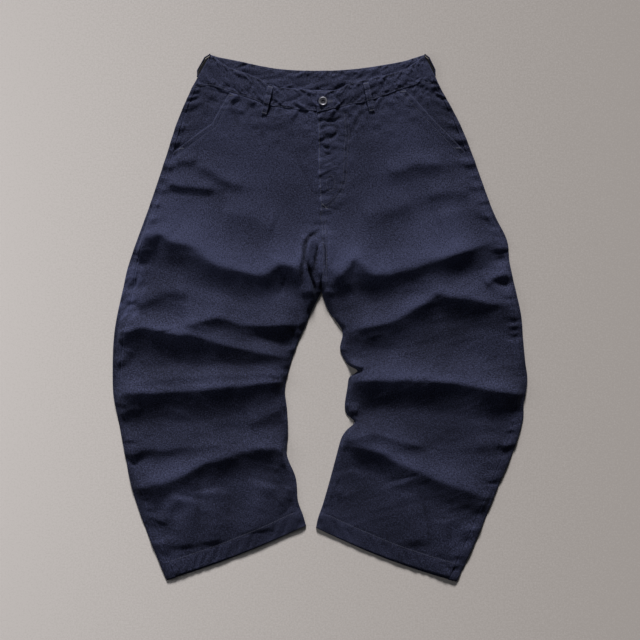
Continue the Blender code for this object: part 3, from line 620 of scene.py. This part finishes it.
# Fly: how far the laps overlap and how high, the x from which the raise falls off and over how far, y of its
# foot and of its puckers' foot, the row where the lap ends, the felled seam below it, and its stitches
fly = {"underlap": 20.0, "raise": 1.65, "end": 16.0, "over": 18.0, "foot": 205, "puckerFoot": 215,
       "lapFoot": 3.35, "seamTop": 3.3, "seamRows": (2.6, 8.6), "seamWide": 11, "groove": 0.8,
       "edgeStitch": 3.0, "rows": 6.0, "oval": (21, 262, 8, 15), "tack": ((4, 222), (9, 217), (14, 212)),
       "stitch": ((52.7, 401.7), (56.6, 358.8), (53.7, 331.5), (51.9, 284.7), (48.8, 262), (39, 240),
                  (19.5, 219), (2, 214))}
mouthLines = {}
for side, leg in legs.items():
    mouthDown = np.linspace(0, 2, 15)
    mouthLines[side] = np.stack(leg.place(leg.mouth(mouthDown), mouthDown, frontBand[side]), -1)
    reach = 1.0 - fronts["hemShort"][side] / leg.last
    down, share = np.meshgrid(leg.down * reach, columns(fronts["columns"]))
    seam = np.where(down < 2, leg.mouth(down), leg.sideSeam(down))
    across = share * seam
    x, y = leg.place(across, down, frontBand[side])
    if side == "right":
        underlap = fly["underlap"] * smooth((3.0 - down) / 0.7) * (1.0 - share) ** 6
        x, y = x + underlap, y - 0.1 * underlap
    lift = leg.rise(across, down, x, y)
    width = leg.width(down)
    if side == "left":
        covered = 1.0 - smooth((x - fly["end"]) / fly["over"])
        lift = lift + fly["raise"] * covered * smooth((fly["lapFoot"] - down) / 0.3)
        fromEdge, offStitch = across * width, toLine(x, y, fly["stitch"])[0]
        aboveFoot, wellAbove = smooth((y - fly["foot"]) / 12), smooth((y - fly["puckerFoot"]) / 30)
        lift = lift - fly["groove"] * hill(offStitch, 3.2) + pucker("topstitch", x, y, offStitch)
        lift = lift + pucker("fly", x * 0.4, y, x - 12) * wellAbove
        lift = lift + pucker("flySlant", x * 0.35, y - 0.45 * x, x - 14) * wellAbove
        lift = lift + pucker("flyEdge", y, 0.2 * fromEdge, fromEdge) * aboveFoot
        # the felled seam below the fly: a raised strip with two grooves, up against the other front
        felled = smooth((down - fly["seamTop"]) / 0.15) * smooth((crotchRow - down) / 0.3)
        grooves = sum(hill(fromEdge - off, 1.1) for off in fly["seamRows"])
        lift = lift + felled * (0.7 * smooth((fly["seamWide"] - fromEdge) / 2) - 0.4 * grooves)
        x = x - 0.25 * felled * (1 - share) ** 12
    toHem = toLine(x, y, leg.hemLine[::6])[0]
    offMouth = toLine(x, y, mouthLines[side])[0]
    inPocket = smooth((2.25 - down) / 0.2)
    lift = lift + fronts["mouthLift"] * inPocket * hill(offMouth, 9)
    lift = lift - 0.35 * inPocket * sum(hill(offMouth - row, 1.2) for row in fronts["mouthRows"])
    # the hem: roped between its fold and its stitches, which lie in a groove
    hem = smooth((cloth["hemDeep"] + 1 - toHem) / 2.0)
    roping = cloudy(across * width + 0.6 * toHem, toHem * 0.12, 8, 71)
    roping = roping * np.sin(np.pi * np.clip(toHem / cloth["hemDeep"], 0, 1))
    lift = lift + fronts["roping"] * roping * hem - 0.7 * hill(toHem - cloth["hemDeep"], 2.0)
    z = layer + np.maximum(lift, 0.0)
    thick = cloth["wall"] + (cloth["hemWall"] - cloth["wall"]) * hem
    top = z + thick * steepness(x, y, z)
    edge = (1.0 - share) * seam * width
    inner = share * seam * width
    # the edges roll down, but hardly where the felled seam joins the two fronts
    closed = smooth((down - fly["seamTop"]) / 0.15) * smooth((crotchRow - down) / 0.2)
    top = top - 0.4 * lip(edge) - (1 - 0.8 * closed) * lip(inner)
    top = top - lip(leg.run(down), 1.2, 0.6) - lip(toHem, 1.5, 1.2)
    # paler on edges and stitched rows by wear, paler on the folds' crests by wear and a painted highlight,
    # and darker in the creases by painted shade
    wearAndPaintedLight = 0.12 * hill(edge, 3) + 0.1 * hill(toHem, 2) + 0.25 * np.clip(lift / 22, 0, 1) ** 2
    rubs = hill(offMouth, 3) + 2.0 * hill(offMouth - fronts["mouthRows"][1], 2.0)
    wearAndPaintedLight = wearAndPaintedLight + fronts["mouthWear"][side] * inPocket * rubs
    creased = sum(creaseDrop(x, y, crease) for crease in creases[side])
    # painted shade: darker in the creases and on the lower legs
    wearAndPaintedLight = wearAndPaintedLight - lowerLegShadeAndFade(y) - 0.11 * np.minimum(creased, 5.0)
    if side == "left":
        rubs = 0.3 + 0.45 * np.clip(cloudy(y, 0 * y, 5, 94), 0, 1)
        wearAndPaintedLight = wearAndPaintedLight + rubs * hill(fromEdge, 4) * aboveFoot
    wearAndPaintedLight = wearAndPaintedLight + paintedEdgeLightAndWear(x, y, edge, side)
    uv = stack(across * width, leg.run(down), 0 * x)[..., :2]
    made[side] = shell(f"front_{side}_cloth", stack(x, y, top), stack(x, y, z), twill, uv, wearAndPaintedLight)
    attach(made[side], "root")
    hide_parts(f"front_{side}")
    wide, long, area = fronts["flat"][side]
print("fronts made")

# Backs: flat on the floor, rolled over the outer edge on a half circle and in on top to the side seam
backs = {"under": 9, "edge": 11, "over": 12, "paintedRollShade": 0.2,
         "flat": {"left": (0.43, 1.02, 0.322), "right": (0.42, 1.00, 0.318)}}
for side, leg in legs.items():
    down = leg.down
    width = leg.width(down)
    roll = 1.0 - cloth["roll"] / width
    seam = 1.0 - (leg.inset(down) - cloth["gap"] / 2) / width
    x, y = leg.place(roll, down, frontBand[side])
    full = layer + leg.rise(roll, down, x, y) + cloth["wall"]
    # girth is the way along the cloth, with 12 mm of it turned over the edge
    turned, outside, inside, girth = 12, [], [], []
    for share in columns(backs["under"], 0.2):
        x, y = leg.place(roll * share, down, backBand)
        outside.append(stack(x, y, 0 * x))
        inside.append(stack(x, y, 0 * x + cloth["wall"]))
        girth.append(roll * share * width)
    for angle in np.linspace(-90, 90, backs["edge"])[1:-1]:
        sine, cosine = np.sin(np.radians(angle)), np.cos(np.radians(angle))
        for surface, wallIn in ((outside, 0.0), (inside, cloth["wall"])):
            across = roll + (cloth["roll"] - wallIn) * cosine / width
            x, y = leg.place(across, down, frontBand[side] if angle >= 0 else backBand)
            surface.append(stack(x, y, full / 2 + (full / 2 - wallIn) * sine))
        girth.append(roll * width + (angle + 90) / 180 * turned)
    for share in columns(backs["over"], 0.3):
        across = roll + (seam - roll) * share
        x, y = leg.place(across, down, frontBand[side])
        z = layer + leg.rise(across, down, x, y)
        outside.append(stack(x, y, z + cloth["wall"] - 0.4 * lip(np.abs(across - seam) * width)))
        inside.append(stack(x, y, z))
        girth.append(roll * width + turned + (roll - across) * width)
    outside, inside, girth = np.array(outside), np.array(inside), np.array(girth)
    uv = stack(girth, np.broadcast_to(leg.run(down), girth.shape), girth)[..., :2]
    nearSeam = np.arange(len(girth))[:, None] / len(girth)
    wearAndPaintedLight = 0.08 * np.broadcast_to(smooth((nearSeam - 0.75) / 0.25), girth.shape) - lowerLegShadeAndFade(outside[..., 1])
    # painted shade on the rolled outer edge, where it turns away from the light
    wearAndPaintedLight = wearAndPaintedLight - backs["paintedRollShade"] * hill(girth - roll * width - 5, 7)
    # painted highlight and wear: the same pale streaks on the roll's top
    edgeLightStreaks = paintedEdgeLightAndWear(outside[..., 0], outside[..., 1], 6.0, side)
    wearAndPaintedLight = wearAndPaintedLight + edgeLightStreaks * (girth > roll * width + 4)
    obj = made["back" + side] = shell(f"back_{side}_cloth", outside, inside, twill, uv, wearAndPaintedLight)
    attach(obj, "root")
    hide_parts(f"back_{side}")
    wide, long, area = backs["flat"][side]
print("backs made")

# Pocket facings: the cloth outside the slanted mouths, tucked 16 mm in under the fronts
facings = {"tuck": 16.0, "rows": 60, "columns": 34,
           "flat": {"left": (0.09, 0.15, 0.0074), "right": (0.10, 0.15, 0.0087)}}
for side, leg in legs.items():
    down, share = np.meshgrid(np.linspace(0, 1.97, facings["rows"]), np.linspace(0, 1, facings["columns"]))
    width = leg.width(down)
    tucked = leg.mouth(down) - facings["tuck"] / width
    across = tucked + (leg.sideSeam(down) - tucked) * share
    x, y = leg.place(across, down, frontBand[side])
    z = np.maximum(leg.rise(across, down, x, y) - 0.15, layer)
    edge = (leg.sideSeam(down) - across) * width
    # paler on the edge by wear; the whole facing is 0.1 darker, painted shade under the waistband
    wearAndPaintedLight = 0.15 * hill(edge, 3) - 0.1
    uv = stack(across * width + 300, leg.run(down) + 7, 0 * x)[..., :2]
    top = z + cloth["wall"] - 0.4 * lip(edge)
    obj = shell(f"pocket_facing_{side}_cloth", stack(x, y, top), stack(x, y, z), twill, uv, wearAndPaintedLight)
    made["facing" + side] = obj
    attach(obj, "root")
    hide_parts(f"pocket_facing_{side}")
    wide, long, area = facings["flat"][side]
print("pocket facings made")


# Waistbands: stations along x depth from the top edge to the seam. The front left one is raised over the end
# of the right one.
bandShape = {"along": 180, "down": 30, "stitch": 2.4, "raise": 2.75, "end": 23.0, "over": 26.0, "ripple": 3.2}
bands = {
    "waistband_back": {
        "stations": backBand, "rest": 0.0, "lap": False, "seed": 31, "flat": (0.043, 0.48),
        "creases": (
            (((-165, 487), (-130, 472), (-96, 477)), 2.2, 8), (((48, 463), (66, 464), (84, 471)), 2.2, 7),
            (((-60, 470), (-48, 452)), 1.4, 6), (((120, 490), (112, 470)), 1.4, 6)),
    },
    "waistband_front_left": {
        "stations": frontBand["left"], "rest": bandRest, "lap": True, "seed": 33, "flat": (0.042, 0.25),
        "creases": (
            (((72, 424), (80, 432), (92, 442)), 2.2, 7), (((50, 464), (70, 466), (92, 476)), 1.8, 7),
            (((24, 440), (34, 424), (46, 414)), 1.8, 6), (((130, 466), (120, 444)), 1.6, 7),
            (((160, 480), (152, 458)), 1.6, 7), (((190, 488), (196, 466)), 1.4, 7)),
    },
    "waistband_front_right": {
        "stations": frontBand["right"], "rest": bandRest, "lap": False, "seed": 35, "flat": (0.043, 0.28),
        "creases": (
            (((-30, 436), (-52, 424), (-74, 420)), 1.8, 7), (((-128, 458), (-140, 438)), 1.8, 8),
            (((-158, 474), (-150, 450)), 1.8, 8), (((-190, 486), (-180, 462)), 1.6, 8),
            (((-86, 442), (-80, 424)), 1.4, 6)),
    },
}


def bandCloth(name, band):
    stations, seed = band["stations"], band["seed"]
    fine = np.linspace(0, len(stations) - 1, 900)
    edges = spline(stations, fine)
    length = runAlong(edges[:, :2] * 0.5 + edges[:, 2:] * 0.5)
    stops = np.interp(np.linspace(0, length[-1], bandShape["along"]), length, fine)
    along, deep = np.meshgrid(stops, columns(bandShape["down"], 0.6))
    rows = spline(stations, along)
    x = rows[..., 0] * (1 - deep) + rows[..., 2] * deep
    y = rows[..., 1] * (1 - deep) + rows[..., 3] * deep
    tall = np.hypot(rows[..., 0] - rows[..., 2], rows[..., 1] - rows[..., 3])
    run = np.interp(along, fine, length)
    toTop, toLow, toEnd = deep * tall, (1 - deep) * tall, np.minimum(run, length[-1] - run)
    z = band["rest"] + 0 * x
    if band["lap"]:
        z = z + bandShape["raise"] * (1.0 - smooth((x - bandShape["end"]) / bandShape["over"]))
    # ripples along both sewn edges, and a soft bulge between them
    nearEdges = hill(toTop - 6, 8) + hill(toLow - 6, 8)
    ripple = 0.65 * cloudy(run + 1.3 * toTop, toTop * 0.3, 9, seed) + 0.45 * cloudy(run, toTop, 6, seed + 2)
    ripple = (ripple + 0.25 * cloudy(run + 0.5 * toTop, toTop, 3.6, seed + 4)) * nearEdges
    bulge = 0.9 * np.sin(np.pi * deep) + 0.8 * cloudy(run + 0.4 * toTop, toTop, 17, seed + 1)
    bulge = bulge + 1.5 * cloudy(run * 0.35, toTop + 0.25 * run, 8, seed + 3) * np.sin(np.pi * deep)
    stitched = hill(toTop - bandShape["stitch"], 1.0) + hill(toLow - bandShape["stitch"], 1.0)
    low = sum(creaseDrop(x, y, crease) for crease in band["creases"])
    top = z + cloth["bandWall"] + bandShape["ripple"] * ripple + bulge - 0.8 * stitched - low
    top = top - lip(toTop, 1.6, 1.4) - lip(toLow, 1.6, 1.4) - lip(toEnd, 1.4, 1.2)
    top = np.maximum(top, z + 0.5)
    wearAndPaintedLight = 0.45 * (hill(toTop, 2.5) + hill(toLow, 2)) + 0.12 * ripple
    uv = stack(toTop, run, 0 * x)[..., :2]
    return shell(name, stack(x, y, top), stack(x, y, z), bandTwill, uv, wearAndPaintedLight)


for node, band in bands.items():
    obj = made[node] = bandCloth(f"{node}_cloth", band)
    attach(obj, "root")
    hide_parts(node)
    ["waistband_back"] if "front" in node else ()
print("waistbands made")


# What lies on the cloth finds its height with rays straight down
def treesOf(objs):
    graph = bpy.context.evaluated_depsgraph_get()
    return [BVHTree.FromObject(obj, graph) for obj in objs]


trees = treesOf(made.values())


def ground(x, y):
    # height of the highest cloth
    heights = np.zeros(np.shape(x))
    for at in np.ndindex(heights.shape):
        start = Vector((x[at] * 0.001, y[at] * 0.001, 0.1))
        hits = [tree.ray_cast(start, Vector((0, 0, -1)))[0] for tree in trees]
        heights[at] = max([hit.z * 1000 for hit in hits if hit], default=0.0)
    return heights


# Belt loops: top and foot of the front ones' middle line. Each is arched off the cloth between its sewn ends.
loops = {"left": ((89, 458), (101, 401)), "right": ((-96, 451), (-109, 396)), "width": 11.0, "wall": 1.5,
         "arch": 1.8, "tack": 0.2, "clear": 0.25, "stitch": 3.3, "barTack": 4.6, "barTackAt": (0.045, 0.955),
         "flat": (0.011, 0.060)}
# the side ones: share of the band's end that they cover, how far they bow off it, lower and upper edge
sideLoops = {"length": 0.66, "tack": 0.16, "wall": 1.9, "standoff": {"left": 4.2, "right": 5.4},
             "rise": (0.6, 7.5), "flat": (0.011, 0.046), "area": 0.00038}
for side in legs:
    start, foot = np.array(loops[side], float)
    way, half = foot - start, loops["width"] / 2
    square = squareTo(way)
    along, share = np.meshgrid(np.linspace(0, 1, 64), np.linspace(-1, 1, 23))
    x, y = (start[axis] + way[axis] * along + square[axis] * share * half for axis in (0, 1))
    under = ground(x, y).max(axis=0)
    # the highest cloth under each place, and under those up to 3 steps away
    under = np.max([np.roll(under, step) for step in range(-3, 4)], axis=0)
    arch = loops["arch"] * between(along, loops["tack"])
    z = np.broadcast_to(under, x.shape) + loops["clear"] + arch
    toEdge, toEnd = (1 - np.abs(share)) * half, np.minimum(along, 1 - along) * np.hypot(*way)
    top = z + loops["wall"] + 0.3 * hill(toEdge - 1.0, 0.8) - 0.3 * hill(toEdge - 2.2, 0.5)
    top = top + 0.25 * cloudy(x, y, 5, 61) - lip(toEdge, 0.9, 0.8) - lip(toEnd, 0.9, 0.7)
    top = top - 0.35 * hill(toEnd - 3.0, 1.2)
    wearAndPaintedLight = 0.4 * hill(toEdge, 1.2) + 0.3 * hill(toEnd, 1.5) + 0.1
    uv = stack(share * half, along * np.hypot(*way), 0 * x)[..., :2]
    obj = shell(f"belt_loop_front_{side}_cloth", stack(x, y, top), stack(x, y, z), bandTwill, uv, wearAndPaintedLight)
    made["loop" + side] = obj
    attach(obj, "root")
    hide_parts(f"belt_loop_front_{side}")

    # at the side fold, standing on its edge and bowed off the fold
    stations = np.array(frontBand[side], float)
    start, way = stations[-1, :2], stations[-1, 2:] - stations[-1, :2]
    square = legs[side].sign * squareTo(way)
    along, share = np.meshgrid(np.linspace(0, sideLoops["length"], 44), np.linspace(0, 1, 13))
    bow = sideLoops["standoff"][side] * between(along, sideLoops["tack"], sideLoops["length"])
    low, tall = sideLoops["rise"][0], sideLoops["rise"][1] - sideLoops["rise"][0]
    outer = cloth["gap"] + bow + sideLoops["wall"] - lip(np.minimum(share, 1 - share) * tall, 0.8, 0.6)
    faces = []
    for reach in (outer, cloth["gap"] + bow):
        x, y = (start[axis] + way[axis] * along + square[axis] * reach for axis in (0, 1))
        faces.append(stack(x, y, low + tall * share))
    uv = stack(share * 7, along * np.hypot(*way), 0 * share)[..., :2]
    obj = shell(f"belt_loop_side_{side}_cloth", *faces, bandTwill, uv, 0 * share)
    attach(obj, "root")
    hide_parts(f"belt_loop_side_{side}")
print("belt loops made")

# Button: a turned profile of radius and height, from the shank over the rolled rim to the dished face
button = {"x": 6.0, "y": 421.0, "sides": 72, "rim": 8.5, "shank": 3.0, "sink": 0.9, "dish": 2.0,
          "profile": ((3.0, 0), (3.4, 0.9), (7.4, 1.0), (8.1, 1.25), (8.5, 1.75), (8.45, 2.3), (8.1, 2.8),
                      (7.5, 3.1), (6.9, 3.12), (6.35, 2.85), (6.0, 2.45), (5.6, 2.3), (4.0, 2.42),
                      (2.6, 2.5), (2.1, 2.4), (1.8, 2.1))}
# the metal is darker near the middle, given here in metres
metalFinish = Finish("buttonMetal", Roughness=0.5, Metallic=1.0)
spot = metalFinish.node("TexCoord", {}, {}, "Object")
middle = (0.006, 0.421, 0.012)
reach = metalFinish.node("VectorMath", {"operation": "DISTANCE"}, {0: spot, 1: middle}, "Value")
tarnish = metalFinish.node("TexNoise", {}, {"Vector": spot, "Scale": 900.0, "Detail": 3.0})
shade = (reach * 300.0 - 0.9) + (tarnish - 0.5) * 0.6
metal = metalFinish.set(Base_Color=metalFinish.mix(shade, *colours["button"]))
profile = np.array(button["profile"])
turn = np.linspace(0, 2 * np.pi, 24, endpoint=False)
rim, shank = (ground(button["x"] + button[part] * np.cos(turn), button["y"] + button[part] * np.sin(turn))
              for part in ("rim", "shank"))
base = max(shank.max() + 0.05, rim.max() - button["sink"])
angle = np.linspace(0, 2 * np.pi, button["sides"], endpoint=False)
ring = stack(button["x"] + profile[:, :1] * np.cos(angle), button["y"] + profile[:, :1] * np.sin(angle),
             base + np.repeat(profile[:, 1:], len(angle), 1))
ends = [(button["x"], button["y"], base), (button["x"], button["y"], base + button["dish"])]
points = np.concatenate([ring.reshape(-1, 3), ends])
number = np.arange(len(profile) * len(angle)).reshape(len(profile), -1)
turned = np.roll(number, -1, axis=1)
walls = np.stack([number[:-1], turned[:-1], turned[1:], number[1:]], -1).reshape(-1, 4)
bottom = np.stack([turned[0], number[0], np.full(len(angle), len(points) - 2)], -1)
middle = np.stack([number[-1], turned[-1], np.full(len(angle), len(points) - 1)], -1)
mesh = bpy.data.meshes.new("button_shank")
mesh.from_pydata((points * 0.001).tolist(), [], [*walls.tolist(), *bottom.tolist(), *middle.tolist()])
mesh.polygons.foreach_set("use_smooth", np.ones(len(mesh.polygons), bool))
mesh.materials.append(metal)
buttonObject = bpy.data.objects.new("button_shank", mesh)
bpy.context.scene.collection.objects.link(buttonObject)
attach(buttonObject, "root")
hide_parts("button")
print("button made")


# Sewing: one rounded stitch every pitch along each path, laid on the cloth under its two ends
def sew(name, paths, material, pitch=3.2, long=2.3, radius=0.42, crosswise=False):
    starts, ends = [], []
    for path in paths:
        path = np.array(path, float)
        line = spline(path, np.linspace(0, len(path) - 1, 12 * len(path)))
        run = runAlong(line)
        at = np.arange(pitch / 2, run[-1], pitch)
        middle = np.stack([np.interp(at, run, line[:, axis]) for axis in (0, 1)], -1)
        way = np.stack([np.interp(at, run, np.gradient(line[:, axis])) for axis in (0, 1)], -1)
        way = way / np.hypot(*way.T)[:, None]
        if crosswise:
            way = way[:, ::-1] * (1, -1)
        starts.append(middle - way * long / 2)
        ends.append(middle + way * long / 2)
    first, last = (np.concatenate(part) for part in (starts, ends))
    first = stack(*first.T, ground(*first.T) + 0.3 * radius)
    last = stack(*last.T, ground(*last.T) + 0.3 * radius)
    way = last - first
    way = way / np.linalg.norm(way, axis=1)[:, None]
    beside = np.cross(way, (0, 0, 1))
    beside = beside / np.linalg.norm(beside, axis=1)[:, None]
    up = np.cross(beside, way)
    # five rings of six points, centre = first + (last - first) s + up * 0.9 s (1 - s)
    s = np.array([0, 0.16, 0.5, 0.84, 1])[:, None]
    thick = radius * np.array([0.4, 0.85, 1, 0.85, 0.4])[:, None, None]
    centre = first[:, None] + (last - first)[:, None] * s + up[:, None] * 0.9 * s * (1 - s)
    angle = np.arange(6)[:, None] * np.pi / 3
    spokes = np.cos(angle) * beside[:, None] + np.sin(angle) * up[:, None]
    points = centre[:, :, None] + thick * spokes[:, None]
    k = np.arange(6)
    strip = np.stack([k, (k + 1) % 6, 6 + (k + 1) % 6, 6 + k], -1)
    caps = np.array([(3, 2, 1, 0), (5, 4, 3, 0), (24, 25, 26, 27), (24, 27, 28, 29)])
    one = points[0].reshape(-1, 3)
    faces = outward(one - one[0], np.concatenate([*(strip + 6 * ring for ring in range(4)), caps]))
    faces = (faces[None] + 30 * np.arange(len(first))[:, None, None]).reshape(-1, 4)
    obj = meshObject(name, points.reshape(-1, 3), faces, material)
    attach(obj, "root")


def onLeg(side, downs, inward):
    # a path on a leg; inward gives the share across at each row down
    leg = legs[side]
    downs = np.array(downs, float)
    x, y = leg.place(inward(leg, downs), downs, frontBand[side])
    return np.stack([x, y], -1)


def onBand(stations, off, fromTop, trim=0.03):
    # a path along a waistband, this far off its top or its lower edge
    at = np.linspace(trim, len(stations) - 1 - trim, 30)
    rows = spline(stations, at)
    tall = np.hypot(rows[:, 0] - rows[:, 2], rows[:, 1] - rows[:, 3])[:, None]
    deep = off / tall if fromTop else 1 - off / tall
    return rows[:, :2] * (1 - deep) + rows[:, 2:] * deep


def besideLine(line, off):
    # the line moved off to its left
    line = np.array(line, float)
    way = np.gradient(line, axis=0)
    way = way / np.hypot(*way.T)[:, None]
    return line + off * np.stack([-way[:, 1], way[:, 0]], -1)


trees += treesOf([made["loopleft"], made["loopright"]])
sewing = {"hem": 33.5, "mouthTack": {"rows": (0.12, 1.86), "in": 5.8, "half": (5.0, 0)},
          "tacks": {"pitch": 0.8, "radius": 0.36, "crosswise": True},
          "buttonhole": (((13, 422.4), (19, 422.6), (25, 422.4)), ((13, 419.6), (19, 419.4), (25, 419.6)))}
bandPaths = [onBand(frontBand[side], bandShape["stitch"], fromTop)
             for side in legs for fromTop in (True, False)]
sew("waistband_stitches", [*bandPaths, onBand(backBand, bandShape["stitch"], True, 0.6)], thread)
mouthPaths = [besideLine(mouthLines[side], -off * leg.sign) for side, leg in legs.items()
              for off in fronts["mouthRows"]]
sew("pocket_stitches", mouthPaths, thread)
downs = np.linspace(0.05, fly["seamTop"], 16)
flyEdge = onLeg("left", downs, lambda leg, down: fly["edgeStitch"] / leg.width(down))
sew("fly_edge_stitches", [flyEdge], tackThread, radius=0.5)
curve = spline(fly["stitch"], np.linspace(0, 7, 30))
flyPaths = [curve, besideLine(curve, -fly["rows"])]
flyPaths += [onLeg("left", np.linspace(3.4, 5.95, 14), lambda leg, down: off / leg.width(down))
             for off in fly["seamRows"]]
turn = np.linspace(0, 2 * np.pi, 25)
middleX, middleY, wide, tall = fly["oval"]
flyPaths += [np.stack([middleX + wide * np.cos(turn), middleY + tall * np.sin(turn)], -1)]
sew("fly_stitches", flyPaths, thread)
hemPaths = [besideLine(leg.hemLine[1:-1], sewing["hem"] * leg.sign) for leg in legs.values()]
sew("hem_stitches", hemPaths, thread)
# bar tacks are close stitches lying across a short line
loopPaths, tackPaths, tack = [], [], sewing["mouthTack"]
for side in legs:
    start, foot = np.array(loops[side], float)
    line = start + (foot - start) * np.linspace(0.03, 0.97, 8)[:, None]
    loopPaths += [besideLine(line, off) for off in (loops["stitch"], -loops["stitch"])]
    beside = loops["barTack"] * squareTo(foot - start)
    for share in loops["barTackAt"]:
        middle = start + (foot - start) * share
        tackPaths.append([middle - beside, middle, middle + beside])
    mouth = onLeg(side, tack["rows"], lambda leg, down: leg.mouth(down) - tack["in"] / leg.width(down))
    tackPaths += [[place - tack["half"], place, place + tack["half"]] for place in mouth]
tackPaths.append(fly["tack"])
sew("loop_stitches", loopPaths, thread)
sew("bar_tacks", tackPaths, tackThread, **sewing["tacks"])
sew("buttonhole_stitches", sewing["buttonhole"], thread, long=2.2, **sewing["tacks"])
print("sewing made")

# Floor, light and camera. The sun stands low on the waist's side, and the camera sees this width of floor.
studio = {"floor": (4000, -0.3), "sun": 6.5, "sunAngle": 0.22, "sunColour": (1.0, 0.975, 0.94),
          "sunFrom": (-0.05, 0.885, 0.39), "side": 7, "sideSize": 0.9, "sideFrom": (-1.5, 0.1, 0.9),
          "sky": (0.92, 0.96, 1.0, 1), "skyStrength": 0.062, "lens": 70, "sensor": 36, "width": 1.248,
          "cameraY": -0.0039}
half, low = studio["floor"]
corners = np.array([(-half, -half, low), (half, -half, low), (half, half, low), (-half, half, low)])
floor = meshObject("floor", corners, np.array([[0, 1, 2, 3]]), floorFinish)
key = bpy.data.objects.new("keyLight", bpy.data.lights.new("keyLight", "SUN"))
key.data.energy = studio["sun"]
key.data.angle = studio["sunAngle"]
key.data.color = studio["sunColour"]
key.rotation_euler = (-Vector(studio["sunFrom"])).to_track_quat("-Z", "Y").to_euler()
fill = bpy.data.objects.new("sideLight", bpy.data.lights.new("sideLight", "AREA"))
fill.data.size = studio["sideSize"]
fill.data.energy = studio["side"]
fill.location = studio["sideFrom"]
fill.rotation_euler = (-fill.location).to_track_quat("-Z", "Y").to_euler()
world = bpy.data.worlds.new("studio")
world.use_nodes = True
sky = world.node_tree.nodes["Background"].inputs
sky[0].default_value, sky[1].default_value = studio["sky"], studio["skyStrength"]
bpy.context.scene.world = world
camera = bpy.data.objects.new("camera", bpy.data.cameras.new("camera"))
camera.data.lens = studio["lens"]
camera.location = (0, studio["cameraY"], studio["width"] * studio["lens"] / studio["sensor"])
for obj in (key, fill, camera):
    bpy.context.scene.collection.objects.link(obj)
bpy.context.scene.camera = camera
bpy.context.scene.view_settings.view_transform = "Standard"
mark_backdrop(floor, key, fill, camera)

sizes = {name: [[float(number) for number in corner] for corner in box]
         for name, box in (("cad", cadBounds), ("visual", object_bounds()))}
